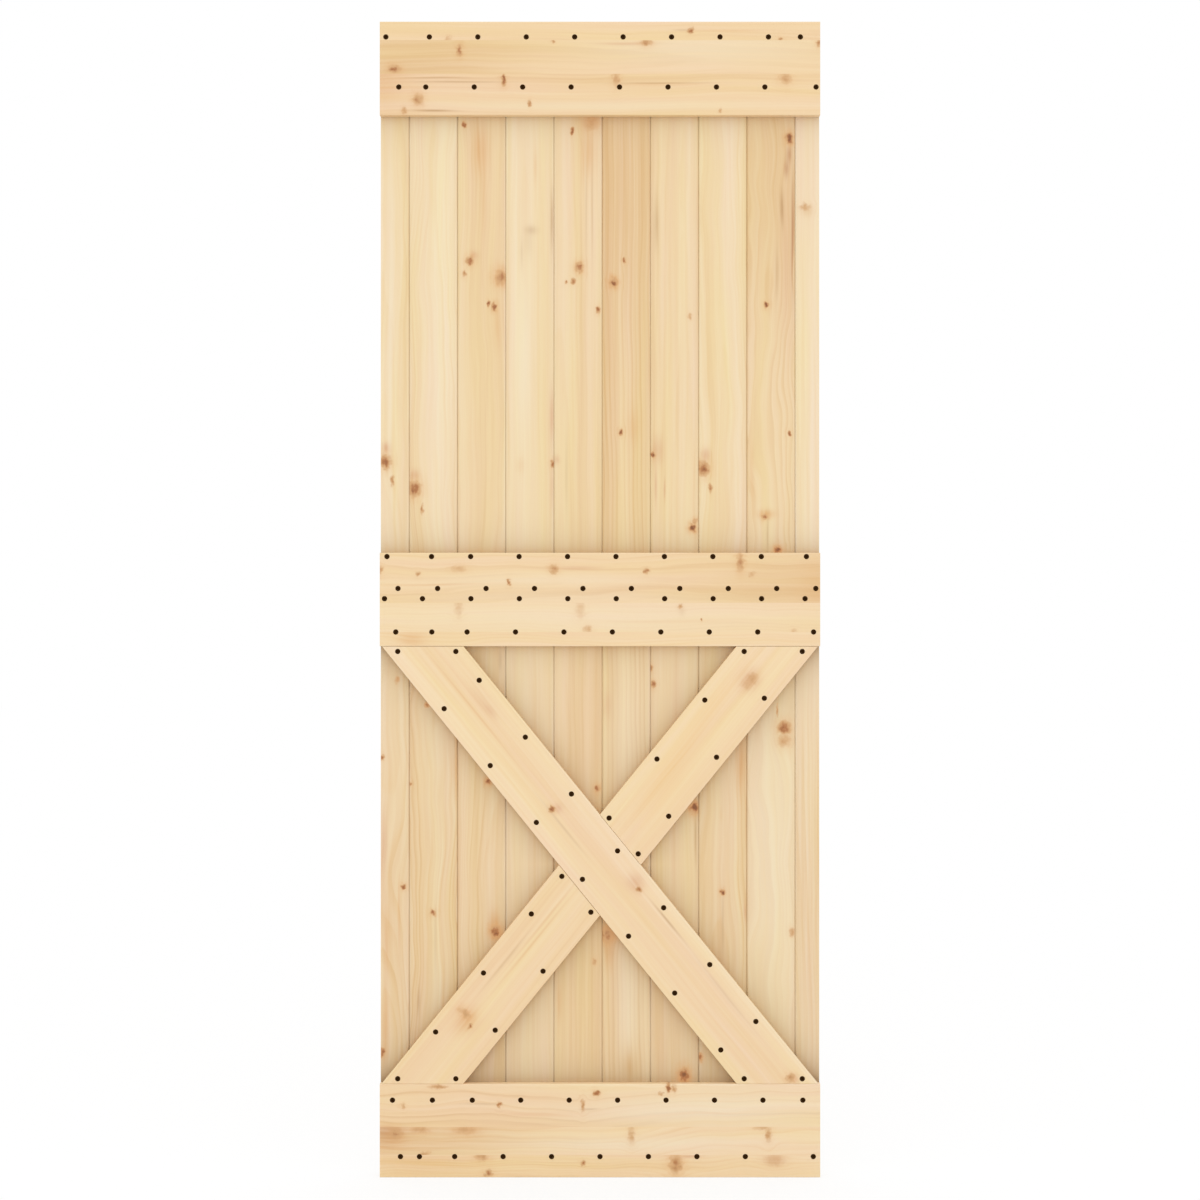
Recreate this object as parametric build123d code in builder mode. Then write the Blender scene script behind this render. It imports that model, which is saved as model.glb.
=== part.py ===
"""Ledged plank door leaf: tongue-and-groove boards, flat rails and a crossed brace.

Millimetres, +Z up. The origin is the middle of the top rail's front face, and the
front looks along -Y, so the boards lie behind it at +Y.
"""
import math
import os

from build123d import *

os.makedirs("parts", exist_ok=True)

# Whole leaf
door_width = 800.0
door_height = 2100.0

# Boards, standing on end
board_thickness = 15.0
board_cover = 88.0  # joint to joint on a full board
edge_board_least = 30.0  # mean edge board width below which one full board fewer is used
edge_board_lead = 8.0  # the left edge board is ripped this much wider than the right one
edge_easing = 1.0  # rounding of the leaf's two outer arrises, front and back
v_joint = 2.0  # leg of the bevel on each side of a joint
joint_gap = 0.4  # open line left between two boards' shoulders
tongue_thickness = 5.0
tongue_length = 7.5
tongue_bevel = 1.0
tongue_side_fit = 0.15  # clearance on each flat side of a tongue
tongue_end_fit = 1.0  # clearance beyond a tongue's tip

# Rails and braces, flat battens on the boards' front
batten_thickness = 15.0
rail_width = 170.0
brace_width = 115.0
brace_corner_inset = 4.0  # outer corner of a brace to the leaf's edge
brace_fit = 0.4  # saw gap where a brace end meets a rail or the other brace
batten_easing = 1.5  # rounding of the battens' long arrises

# Screw seats, the tapered recesses that the countersunk heads sit in
screw_head = 10.2
screw_shank = 5.0
seat_flat_count = 16  # a recess has this many flats in place of a round cone, to keep it light
brace_line_inset = 16.5  # brace edge to its line of screws
end_screw_margin = 9.0  # end cut of a brace, or its butt on the long brace, to the screws nearest it
long_brace_pitch = 133.0
half_brace_pitch = 138.0
half_brace_step = 88.0  # shorter first step on the far line of a half brace
least_screw_gap = 60.0  # an even run stops where the next end screw is nearer than this

# Rail screw rows: drop from the rail's top edge, loose screws from the leaf's left edge,
# first of an even run at the board pitch, last screw from the leaf's right edge
top_rows = [
    (28.0, [11.0], 90.0, 36.0),
    (119.0, [34.5], 83.5, 7.5),
]
middle_rows = [
    (7.0, [13.0, 94.0], 165.0, 25.0),
    (65.0, [33.0], 105.0, 8.0),
    (83.5, [8.5], 77.5, 27.5),
    (144.0, [29.0, 94.5], 158.5, 12.0),
]
bottom_rows = [
    (29.5, [23.0, 95.5], 168.0, 31.5),
    (132.0, [37.5, 72.0], 136.0, 12.5),
]

# Places that follow from the sizes above
half_width = door_width / 2
door_top = rail_width / 2
door_bottom = door_top - door_height
board_middle = batten_thickness + board_thickness / 2
groove_width = tongue_thickness + 2 * tongue_side_fit
groove_depth = tongue_length + tongue_end_fit - joint_gap
full_boards = int((door_width - 2 * edge_board_least) // board_cover)
board_count = full_boards + 2
left_edge_board = (door_width - full_boards * board_cover + edge_board_lead) / 2
bay_height = (door_height - 3 * rail_width) / 2
middle_rail_top = door_top - rail_width - bay_height
bottom_rail_top = door_bottom + rail_width
brace_top = middle_rail_top - rail_width - brace_fit
brace_bottom = bottom_rail_top + brace_fit
brace_centre = (brace_top + brace_bottom) / 2
brace_rise = brace_top - brace_bottom
brace_span = door_width - 2 * brace_corner_inset
brace_diagonal = math.hypot(brace_rise, brace_span)
brace_slope = math.atan2(brace_rise, brace_span) + math.asin(brace_width / brace_diagonal)
brace_cut = brace_width / math.sin(brace_slope)
screw_line = brace_width / 2 - brace_line_inset
seat_depth = (screw_head - screw_shank) / 2


def seat_rims(points):
    """Rims of the screw seats at each (x, z) of the battens' front."""
    with BuildSketch(Plane.XZ) as rims:
        with Locations(*points):
            RegularPolygon(screw_head / 2, seat_flat_count, major_radius=False)
    return rims.sketch


def make_board(label, left, right, is_first, is_last):
    """One upright board between two joint lines, with its tongue on the right."""
    left_face = left if is_first else left + joint_gap / 2
    right_face = right if is_last else right - joint_gap / 2
    from_edge = (Align.MIN, Align.CENTER)
    with BuildPart() as board:
        with BuildSketch(Plane.XY.offset(door_bottom)):
            with Locations((left_face, board_middle)):
                Rectangle(right_face - left_face, board_thickness, align=from_edge)
                if not is_first:
                    Rectangle(groove_depth, groove_width, align=from_edge, mode=Mode.SUBTRACT)
            if not is_last:
                with Locations((right_face, board_middle)):
                    Rectangle(tongue_length, tongue_thickness, align=from_edge)
        extrude(amount=door_height)
        uprights = board.edges().filter_by(Axis.Z)
        front_edges = uprights.group_by(Axis.Y)[0].sort_by(Axis.X)
        left_edges = uprights.group_by(Axis.X)[0]
        right_edges = uprights.group_by(Axis.X)[-1]
        if is_first:
            fillet(left_edges, edge_easing)
        else:
            chamfer(front_edges[0], v_joint)
        if is_last:
            fillet(right_edges, edge_easing)
        else:
            chamfer(front_edges[-1], v_joint)
            chamfer(right_edges, tongue_bevel)
    board.part.label = label
    export_step(board.part, f"parts/{label}.step")


def make_rail(label, top, rows):
    """A flat rail across the whole leaf, with its rows of screw seats."""
    seats = []
    for drop, loose, run_start, right_inset in rows:
        run_count = board_count - len(loose) - 1
        run = [run_start + board_cover * i for i in range(run_count)]
        across = [*loose, *run, door_width - right_inset]
        seats += [(x - half_width, top - drop) for x in across]
    rims = seat_rims(seats)
    with BuildPart() as rail:
        with BuildSketch(Plane.XZ):
            with Locations((0, top - rail_width / 2)):
                Rectangle(door_width, rail_width)
        extrude(amount=-batten_thickness)
        fillet(rail.edges().filter_by(Axis.X), batten_easing)
        extrude(rims, amount=-seat_depth, taper=45, mode=Mode.SUBTRACT)
    rail.part.label = label
    export_step(rail.part, f"parts/{label}.step")


def brace_point(along, across, side):
    """Front-face point along and across a brace from the crossing; side -1 mirrors it."""
    x = along * math.cos(brace_slope) + across * math.sin(brace_slope)
    z = brace_centre - along * math.sin(brace_slope) + across * math.cos(brace_slope)
    return (side * x, z)


def end_station(across, end):
    """How far along a brace a screw line nears its end cut: end -1 the upper, 1 the lower."""
    drop = end * (brace_rise / 2 - end_screw_margin)
    return (drop + across * math.cos(brace_slope)) / math.sin(brace_slope)


def butt_station(across, end):
    """How far along a half brace a screw line nears the edge of the long brace."""
    crossing = 2 * brace_slope
    edge = end * (brace_width / 2 + brace_fit)
    return (edge + across * math.cos(crossing)) / math.sin(crossing) + end * end_screw_margin


def brace_corners(side):
    """Corners of a brace running from corner to corner of the lower bay."""
    outer = half_width - brace_corner_inset
    inner = outer - brace_cut
    corners = [(-outer, brace_top), (-inner, brace_top), (outer, brace_bottom), (inner, brace_bottom)]
    return [(side * x, z) for x, z in corners]


def ease_brace(brace, side):
    """Round a brace's long arrises."""
    run = Axis((0, 0, 0), (side * math.cos(brace_slope), 0, -math.sin(brace_slope)))
    fillet(brace.edges().filter_by(run), batten_easing)


def make_long_brace(label):
    """The unbroken brace, from the top left to the bottom right of the lower bay."""
    steps = int((end_station(-screw_line, 1) - least_screw_gap) // long_brace_pitch)
    seats = []
    for across in (-screw_line, screw_line):
        stations = [long_brace_pitch * i for i in range(-steps, steps + 1)]
        stations += [end_station(across, end) for end in (-1, 1)]
        seats += [brace_point(along, across, 1) for along in stations]
    rims = seat_rims(seats)
    with BuildPart() as brace:
        with BuildSketch(Plane.XZ):
            with BuildLine():
                Polyline(*brace_corners(1), close=True)
            make_face()
        extrude(amount=-batten_thickness)
        ease_brace(brace, 1)
        extrude(rims, amount=-seat_depth, taper=45, mode=Mode.SUBTRACT)
    brace.part.label = label
    export_step(brace.part, f"parts/{label}.step")


def make_half_brace(label, end):
    """Half of the other brace, sawn to butt on the long one: end -1 the upper half, 1 the lower."""
    far_line = end * screw_line
    first_far_screw = butt_station(far_line, end)
    seats = [brace_point(first_far_screw, far_line, -1)]
    runs = [(-far_line, butt_station(-far_line, end)), (far_line, first_far_screw + end * half_brace_step)]
    for across, start in runs:
        last = end_station(across, end)
        count = int((abs(last - start) - least_screw_gap) // half_brace_pitch) + 1
        stations = [start + end * half_brace_pitch * i for i in range(count)]
        seats += [brace_point(along, across, -1) for along in [*stations, last]]
    butt_line = brace_point(0, -end * (brace_width / 2 + brace_fit), 1)
    removed_side = (Align.CENTER, Align.MAX if end < 0 else Align.MIN)
    rims = seat_rims(seats)
    with BuildPart() as brace:
        with BuildSketch(Plane.XZ):
            with BuildLine():
                Polyline(*brace_corners(-1), close=True)
            make_face()
            with Locations(butt_line):
                Rectangle(
                    2 * door_height,
                    2 * door_height,
                    rotation=-math.degrees(brace_slope),
                    align=removed_side,
                    mode=Mode.SUBTRACT,
                )
        extrude(amount=-batten_thickness)
        ease_brace(brace, -1)
        extrude(rims, amount=-seat_depth, taper=45, mode=Mode.SUBTRACT)
    brace.part.label = label
    export_step(brace.part, f"parts/{label}.step")


joint_lines = [-half_width + left_edge_board + board_cover * i for i in range(full_boards + 1)]
board_edges = [-half_width, *joint_lines, half_width]
for number in range(board_count):
    make_board(
        f"board_{number + 1:02d}",
        board_edges[number],
        board_edges[number + 1],
        is_first=number == 0,
        is_last=number == board_count - 1,
    )

make_rail("top_rail", door_top, top_rows)
make_rail("middle_rail", middle_rail_top, middle_rows)
make_rail("bottom_rail", bottom_rail_top, bottom_rows)

make_long_brace("long_brace")
make_half_brace("upper_half_brace", -1)
make_half_brace("lower_half_brace", 1)
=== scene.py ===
"""Looks of the plank door leaf: pine boards, rails and braces, held by dark countersunk screws."""
import math
import random

import bmesh
import bpy
from mathutils import Euler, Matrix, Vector


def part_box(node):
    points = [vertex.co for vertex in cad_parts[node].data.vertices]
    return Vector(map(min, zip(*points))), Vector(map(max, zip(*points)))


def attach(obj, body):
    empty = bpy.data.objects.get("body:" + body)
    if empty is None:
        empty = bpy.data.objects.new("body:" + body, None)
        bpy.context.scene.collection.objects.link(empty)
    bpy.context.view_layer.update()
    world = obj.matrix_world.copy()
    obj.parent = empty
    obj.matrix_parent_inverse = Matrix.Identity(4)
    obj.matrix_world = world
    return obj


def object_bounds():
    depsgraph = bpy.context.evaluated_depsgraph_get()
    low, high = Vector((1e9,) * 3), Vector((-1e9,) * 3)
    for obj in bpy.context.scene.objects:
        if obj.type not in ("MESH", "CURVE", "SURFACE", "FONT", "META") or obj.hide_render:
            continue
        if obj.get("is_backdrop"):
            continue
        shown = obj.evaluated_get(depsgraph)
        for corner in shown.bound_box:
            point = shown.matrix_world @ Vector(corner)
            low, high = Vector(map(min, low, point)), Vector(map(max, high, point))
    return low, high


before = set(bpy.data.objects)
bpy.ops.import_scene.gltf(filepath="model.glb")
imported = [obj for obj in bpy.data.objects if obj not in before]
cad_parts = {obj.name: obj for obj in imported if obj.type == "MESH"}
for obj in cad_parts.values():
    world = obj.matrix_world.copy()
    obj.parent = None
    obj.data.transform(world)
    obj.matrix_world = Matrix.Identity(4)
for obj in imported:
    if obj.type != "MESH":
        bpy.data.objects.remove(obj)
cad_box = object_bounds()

MM = 0.001
rng = random.Random(7)

# Places of the leaf in the shared frame
LEAF_LOW, LEAF_HIGH = cad_box
LEAF_BOTTOM = LEAF_LOW[2]
LEAF_MIDDLE = (LEAF_LOW[2] + LEAF_HIGH[2]) / 2
BOARDS = sorted(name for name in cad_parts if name.startswith("board_"))
RAILS = ["top_rail", "middle_rail", "bottom_rail"]
BRACES = ["long_brace", "upper_half_brace", "lower_half_brace"]
BRACE_WIDTH = 115 * MM
BRACE_LOW, BRACE_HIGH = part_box("long_brace")
BRACE_SPAN = BRACE_HIGH[0] - BRACE_LOW[0]
BRACE_RISE = BRACE_HIGH[2] - BRACE_LOW[2]
BRACE_DIAGONAL = math.hypot(BRACE_SPAN, BRACE_RISE)
BRACE_SLOPE = math.atan2(BRACE_RISE, BRACE_SPAN) + math.asin(BRACE_WIDTH / BRACE_DIAGONAL)
BRACE_MIDDLE = (BRACE_LOW[2] + BRACE_HIGH[2]) / 2
BOARD_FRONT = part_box("board_01")[0][1]
FIRST_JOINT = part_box("board_02")[0][0]
BOARD_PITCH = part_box("board_03")[0][0] - FIRST_JOINT

# How the grain runs: each turn lays the length of the wood on x, its width on y and its depth on z
UPRIGHT = (math.pi / 2, 0.0, math.pi / 2)
LEVEL = (math.pi / 2, 0.0, 0.0)
FALLING = (math.pi / 2, 0.0, -BRACE_SLOPE)
RISING = (math.pi / 2, 0.0, BRACE_SLOPE)

# How often the wood changes in a metre along, across and through its grain
DRIFT_GRAIN = (3.6, 9.0, 9.0)
BAND_GRAIN = (0.45, 30.0, 30.0)
BLUSH_GRAIN = (2.2, 34.0, 34.0)
STREAK_GRAIN = (2.5, 170.0, 170.0)
FIBRE_GRAIN = (18.0, 1100.0, 1100.0)
WANDER_GRAIN = (1.6, 8.0, 8.0)
RIPPLE_GRAIN = (9.0, 45.0, 45.0)

# Ragged outline of knots, finer detail for some of the changes, and where each piece's grain is taken from
WOBBLE_SCALE = 110.0
FINE_DETAIL = 3.0
SEED_SPAN = (5, 50)

# Growth rings: their lean along the wood, and where late wood starts and peaks in a year
RING_LEAN = 0.009
RING_RIPPLE = 2.2 * MM
LATE_START = 0.3
LATE_PEAK = 0.9
YEAR_LEAST = 0.15
YEAR_SPREAD = 0.85

# Tone of clear wood, where it runs from cream to pale, to straw and to honey, and its cast
TONE_STEPS = [(-0.5, 0.0), (0.0, 0.5), (0.5, 1.3)]
STREAK_TONE = 0.62
FIBRE_TONE = 0.18
SAWN_TONE = 0.25
SAWN_RINGS = 0.9
FIGURE_FADE = 0.6
FIGURE_LEVEL = 0.15
PINK = 0.09
YELLOW = 0.24
GREEN_SHARE = 0.992
BLUE_SHARE = 0.972
ARRIS_INSIDE = 1.5 * MM
ARRIS_OUTSIDE = 0.4 * MM
END_SKIN = 0.3 * MM
STRIP_JUMP = (2.3, 0.037, 0.012)

# Knots and stains
KNOT_BEND = 1 / 6
KNOT_SQUEEZE = 0.85
KNOT_SLOPE = 0.85
KNOT_CREST = 1.35
HALO_POWER = 1.8
RAGGED_REACH = (14 * MM, 9 * MM, 0.0)
STAIN_DRIFT = (0.0, 0.25, 0.0)
STAIN_STREAKS = 1.6
HALO_STREAKS = 1.2
CORE_STREAKS = 0.9
CORE_PATCHES = 1.4
PALE_CORE = (0.0, 0.34)
RED_CORE = (0.3, 0.62)
DARK_CORE = (0.6, 0.95)

# Painted shade on the boards at the battens' feet, and a soft darkening along the joints
FOOT_REACH = 26 * MM
FOOT_EASE = 10 * MM
FOOT_RISE = {"bottom_rail": 6 * MM}
PAINTED_SHADE_SHARE = 0.48
FOOT_DEPTH = 2 * MM
FOOT_END = 5 * MM
JOINT_REACH = 3.5 * MM
JOINT_SHARE = 0.2
FAR_OFF = 1.0

# Planed finish
WOOD_ROUGH = 0.62
LATE_ROUGH = -0.1
FIBRE_ROUGH = 0.08
ARRIS_ROUGH = -0.08
SAWN_ROUGH = 0.15
WOOD_SHINE = 0.3
FIBRE_RELIEF = 0.6
STREAK_RELIEF = 0.5
RELIEF_STRENGTH = 0.35
RELIEF_DEPTH = 0.2 * MM

# Modelling tolerances
TOUCHING = 0.01 * MM
SAME_WAY = 0.99
SEAT_FLATNESS = 0.02 * MM
SPOT_DIGITS = 5

# The two ways along a screw's axis, y
FRONT = -1
BACK = 1

# Screws
SEAT_DEPTH = 2.6 * MM
SEAT_REACH = 8 * MM
SCREW_SIDES = 16
HEAD_RADIUS = 4.8 * MM
HEAD_RECESS = 0.06 * MM
HEAD_RIM = 0.1 * MM
RIM_BEVEL = 0.05 * MM
SHANK_RADIUS = 2.35 * MM
SHANK_END = 20 * MM
POINT_END = 25 * MM
POINT_SHARE = 0.12
CROSS_ARM = 2.6 * MM
CROSS_WIDTH = 1.3 * MM
CROSS_DEPTH = 1.8 * MM
CROSS_TAPER = 0.45
SMOOTH_ANGLE = math.radians(35)

# Dark coat of the screws
COAT_PATCH = (160.0, 160.0, 160.0)
COAT_GRIT = (2600.0, 2600.0, 2600.0)
COAT_ROUGH = 0.55
GRIT_ROUGH = 0.3
GRIT_RELIEF = 0.25
GRIT_DEPTH = 0.05 * MM
COAT_SHINE = 0.25
SCUFF_GRIT = (0.58, 0.7)
SCUFF_SHARE = 0.5

# Floor
FLOOR_SIZE = 30.0
FLOOR_WHITE = 0.8

# Soft lamp behind the camera
LAMP_DISTANCE = 4.3
LAMP_RISE = 0.8
LAMP_SIZE = 2.6
LAMP_POWER = 13.0

# Camera
CAMERA_DISTANCE = 3.5
CAMERA_DROP = 0.9 * MM
VIEW_HEIGHT = 2.1798
SENSOR = 36.0

FLOAT = "NodeSocketFloat"
VECTOR = "NodeSocketVector"
COLOUR = "NodeSocketColor"


def fill(tree, socket, value):
    """Link or set one input socket."""
    if isinstance(value, bpy.types.NodeSocket):
        tree.links.new(value, socket)
    else:
        socket.default_value = value


def node(tree, kind, settings=None, **inputs):
    """Add a shader node; inputs are named sockets, with a socket linked and a value set."""
    made = tree.nodes.new(kind)
    for name, value in (settings or {}).items():
        setattr(made, name, value)
    for name, value in inputs.items():
        fill(tree, made.inputs[name.replace("_", " ")], value)
    return made


def sums(tree, operation, *terms, clamp=False):
    """Math node on up to three terms."""
    made = tree.nodes.new("ShaderNodeMath")
    made.operation = operation
    made.use_clamp = clamp
    for socket, term in zip(made.inputs, terms):
        fill(tree, socket, term)
    return made.outputs[0]


def vectors(tree, operation, *terms):
    """Vector Math node on up to three terms."""
    made = tree.nodes.new("ShaderNodeVectorMath")
    made.operation = operation
    for socket, term in zip(made.inputs, terms):
        fill(tree, socket, term)
    return made.outputs["Value" if operation == "DOT_PRODUCT" else "Vector"]


def scaled(tree, vector, amount):
    """Vector times one number."""
    return node(tree, "ShaderNodeVectorMath", {"operation": "SCALE"}, Vector=vector, Scale=amount).outputs[0]


def ramp(tree, value, low, high, smooth=True):
    """Value running from 0 at low to 1 at high."""
    made = tree.nodes.new("ShaderNodeMapRange")
    made.interpolation_type = "SMOOTHSTEP" if smooth else "LINEAR"
    fill(tree, made.inputs["Value"], value)
    made.inputs["From Min"].default_value = low
    made.inputs["From Max"].default_value = high
    return made.outputs["Result"]


def noise(tree, place, stretch, detail=2.0):
    """Noise from 0 to 1 with its own scale along, across and through the wood."""
    stretched = vectors(tree, "MULTIPLY", place, stretch)
    made = node(tree, "ShaderNodeTexNoise", Vector=stretched, Scale=1.0, Detail=detail, Roughness=0.5)
    return made.outputs[0]


def swing(tree, value, amount, base):
    """Base moved by a noise value's departure from its middle."""
    return sums(tree, "MULTIPLY_ADD", sums(tree, "SUBTRACT", value, 0.5), amount, base)


def blend(tree, factor, first, second):
    """Mix of two colours."""
    made = tree.nodes.new("ShaderNodeMix")
    made.data_type = "RGBA"
    fill(tree, made.inputs[0], factor)
    fill(tree, made.inputs[6], first)
    fill(tree, made.inputs[7], second)
    return made.outputs[2]


def mix_shaders(tree, factor, first, second):
    """Mix of two surfaces."""
    made = tree.nodes.new("ShaderNodeMixShader")
    for socket, value in zip(made.inputs, (factor, first, second)):
        fill(tree, socket, value)
    return made.outputs[0]


def new_group(name, inputs, outputs):
    """Empty node group with its sockets."""
    group = bpy.data.node_groups.new(name, "ShaderNodeTree")
    for label, kind in inputs:
        group.interface.new_socket(label, in_out="INPUT", socket_type=kind)
    for label, kind in outputs:
        group.interface.new_socket(label, in_out="OUTPUT", socket_type=kind)
    source = group.nodes.new("NodeGroupInput")
    sink = group.nodes.new("NodeGroupOutput")
    return group, source.outputs, sink.inputs


def use_group(tree, group, values):
    """Place a node group with its inputs given by name."""
    made = tree.nodes.new("ShaderNodeGroup")
    made.node_tree = group
    for label, value in values.items():
        fill(tree, made.inputs[label], value)
    return made.outputs


MARK = [
    ("Place", VECTOR), ("Strip", FLOAT), ("Scale", VECTOR), ("Shift", VECTOR),
    ("Strength", FLOAT), ("Own Strip", FLOAT),
]


def from_mark(group, given):
    """Offset from a mark's centre in half sizes, its square, and 1 in the mark's own strip."""
    offset = vectors(group, "MULTIPLY_ADD", given["Place"], given["Scale"], given["Shift"])
    squares = vectors(group, "DOT_PRODUCT", offset, offset)
    same = sums(group, "COMPARE", given["Strip"], given["Own Strip"], 0.5)
    return offset, squares, same


def make_knot_group():
    """One knot: the grain bends round it, and its core and warm halo are carried on to the next."""
    carried = [("Grain", VECTOR), ("Core", FLOAT), ("Halo", FLOAT)]
    own = [("Width", VECTOR), ("Glow", FLOAT)]
    group, given, result = new_group("pine_knot", carried + MARK + own, carried)
    offset, squares, same = from_mark(group, given)
    lens = sums(group, "EXPONENT", sums(group, "MULTIPLY", squares, -KNOT_BEND))
    lens = sums(group, "MULTIPLY", lens, same)
    shift = scaled(group, vectors(group, "MULTIPLY", offset, given["Width"]), lens)
    group.links.new(vectors(group, "SUBTRACT", given["Grain"], shift), result["Grain"])
    cone = sums(group, "MULTIPLY_ADD", sums(group, "SQRT", squares), -KNOT_SLOPE, KNOT_CREST, clamp=True)
    core = sums(group, "MULTIPLY", sums(group, "MULTIPLY", cone, given["Strength"]), same)
    group.links.new(sums(group, "MAXIMUM", given["Core"], core), result["Core"])
    halo = sums(group, "MULTIPLY", sums(group, "POWER", lens, HALO_POWER), given["Glow"])
    group.links.new(sums(group, "MAXIMUM", given["Halo"], halo), result["Halo"])
    return group


def make_stain_group():
    """One soft streak or patch along the grain, mixed into the wood's colour."""
    inputs = [("Colour", COLOUR)] + MARK + [("Uneven", FLOAT), ("Tint", COLOUR)]
    group, given, result = new_group("pine_stain", inputs, [("Colour", COLOUR)])
    squares, same = from_mark(group, given)[1:]
    spread = sums(group, "EXPONENT", sums(group, "MULTIPLY", squares, -1.0))
    strength = sums(group, "MULTIPLY", sums(group, "MULTIPLY", given["Strength"], same), given["Uneven"])
    factor = sums(group, "MULTIPLY", spread, strength, clamp=True)
    group.links.new(blend(group, factor, given["Colour"], given["Tint"]), result["Colour"])
    return group


def make_ring_group():
    """Growth rings round a pith, wandering along the wood, with late wood stronger in some years."""
    inputs = [("Grain", VECTOR), ("Seed", VECTOR), ("Pith", VECTOR), ("Ring", FLOAT), ("Wander", FLOAT)]
    group, given, result = new_group("pine_rings", inputs, [("Late", FLOAT)])
    place = vectors(group, "ADD", given["Grain"], given["Seed"])
    from_pith = vectors(group, "SUBTRACT", given["Grain"], given["Pith"])
    along, across, depth = node(group, "ShaderNodeSeparateXYZ", Vector=from_pith).outputs
    squares = sums(group, "MULTIPLY_ADD", across, across, sums(group, "MULTIPLY", depth, depth))
    radius = sums(group, "MULTIPLY_ADD", along, RING_LEAN, sums(group, "SQRT", squares))
    radius = sums(group, "MULTIPLY_ADD", noise(group, place, WANDER_GRAIN), given["Wander"], radius)
    radius = sums(group, "MULTIPLY_ADD", noise(group, place, RIPPLE_GRAIN), RING_RIPPLE, radius)
    phase = sums(group, "DIVIDE", radius, given["Ring"])
    ring = sums(group, "FRACT", phase)
    rise, fall = ramp(group, ring, LATE_START, LATE_PEAK), ramp(group, ring, 1.0, LATE_PEAK)
    line = sums(group, "MULTIPLY", rise, fall)
    year = node(group, "ShaderNodeTexWhiteNoise", {"noise_dimensions": "1D"}, W=sums(group, "FLOOR", phase))
    weight = sums(group, "MULTIPLY_ADD", year.outputs["Value"], YEAR_SPREAD, YEAR_LEAST)
    group.links.new(sums(group, "MULTIPLY", line, weight), result["Late"])
    return group


def make_foot_group():
    """Nearness to the feet of battens on the boards' front, 1 at one foot, and a little to the joints: the
    mask for the painted shade at the feet and the darkening along the joints.
    """
    group, given, result = new_group("batten_foot", [("Place", VECTOR)], [("Near", FLOAT)])
    x, y, z = node(group, "ShaderNodeSeparateXYZ", Vector=given["Place"]).outputs
    rail_gap = FAR_OFF
    for name in RAILS:
        low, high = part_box(name)
        above = sums(group, "SUBTRACT", z, high[2] + FOOT_RISE.get(name, 0.0))
        below = sums(group, "SUBTRACT", low[2] + FOOT_EASE, z)
        rail_gap = sums(group, "MINIMUM", rail_gap, sums(group, "MAXIMUM", above, below))
    brace_gap = FAR_OFF
    drop = sums(group, "MULTIPLY", sums(group, "SUBTRACT", z, BRACE_MIDDLE), math.cos(BRACE_SLOPE))
    for way in (math.sin(BRACE_SLOPE), -math.sin(BRACE_SLOPE)):
        off = sums(group, "ABSOLUTE", sums(group, "MULTIPLY_ADD", x, way, drop))
        off = sums(group, "SUBTRACT", off, BRACE_WIDTH / 2)
        off = sums(group, "MAXIMUM", off, sums(group, "SUBTRACT", z, BRACE_HIGH[2]))
        brace_gap = sums(group, "MINIMUM", brace_gap, off)
    joint_gap = sums(group, "PINGPONG", sums(group, "SUBTRACT", x, FIRST_JOINT), BOARD_PITCH / 2)
    near = sums(group, "EXPONENT", sums(group, "DIVIDE", joint_gap, -JOINT_REACH))
    near = sums(group, "MULTIPLY", near, JOINT_SHARE)
    for gap in (rail_gap, brace_gap):
        gap = sums(group, "MAXIMUM", gap, 0.0)
        near = sums(group, "ADD", near, sums(group, "EXPONENT", sums(group, "DIVIDE", gap, -FOOT_REACH)))
    front = ramp(group, y, BOARD_FRONT + FOOT_END, BOARD_FRONT + FOOT_DEPTH)
    group.links.new(sums(group, "MULTIPLY", near, front), result["Near"])
    return group


KNOT = make_knot_group()
STAIN = make_stain_group()
RINGS = make_ring_group()
FOOT = make_foot_group()

# Pine colours
CREAM = (0.95, 0.845, 0.65, 1.0)
PALE = (0.93, 0.765, 0.52, 1.0)
STRAW = (0.885, 0.675, 0.405, 1.0)
BATTEN_PALE = (0.955, 0.765, 0.52, 1.0)
BATTEN_STRAW = (0.91, 0.675, 0.405, 1.0)
HONEY = (0.745, 0.475, 0.22, 1.0)
GOLD = (0.92, 0.66, 0.33, 1.0)
AMBER = (0.74, 0.36, 0.12, 1.0)
ROSE = (0.68, 0.33, 0.18, 1.0)
UMBER = (0.47, 0.25, 0.10, 1.0)
RUST = (0.50, 0.21, 0.085, 1.0)
# Painted shade at the battens' feet, also laid softly along the joints
PAINTED_SHADE_TINT = (0.38, 0.256, 0.14, 1.0)
KNOT_PALE = (0.68, 0.395, 0.185, 1.0)
KNOT_RED = (0.48, 0.205, 0.08, 1.0)
KNOT_DARK = (0.27, 0.11, 0.045, 1.0)

# Screw and floor colours
COAT_DARK = (0.011, 0.004, 0.001, 1.0)
COAT_BROWN = (0.034, 0.013, 0.003, 1.0)
COAT_SCUFFED = (0.16, 0.1, 0.05, 1.0)
COAT_SHEEN = (1.0, 0.5, 0.15, 1.0)
FLOOR_GREY = (0.8, 0.8, 0.8, 1.0)
WHITE = (1.0, 1.0, 1.0, 1.0)


def lay(turn, x, height):
    """Place on the leaf's face, in mm from its middle and its foot, seen along and across the grain."""
    spot = Euler(turn).to_matrix() @ Vector((x * MM, 0.0, LEAF_BOTTOM + height * MM))
    return spot.x, spot.y


def front_span(name, turn):
    """Lowest and highest reach across the grain of a piece's flat front, and the depth it lies at."""
    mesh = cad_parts[name].data
    front = min(v.co.y for v in mesh.vertices)
    turned = Euler(turn).to_matrix()
    across = [(turned @ v.co).y for v in mesh.vertices if v.co.y < front + TOUCHING]
    return min(across), max(across), front


def length_span(name, turn):
    """Where a piece starts and stops along its grain."""
    turned = Euler(turn).to_matrix()
    along = [(turned @ v.co).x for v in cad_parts[name].data.vertices]
    return min(along), max(along)


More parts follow.
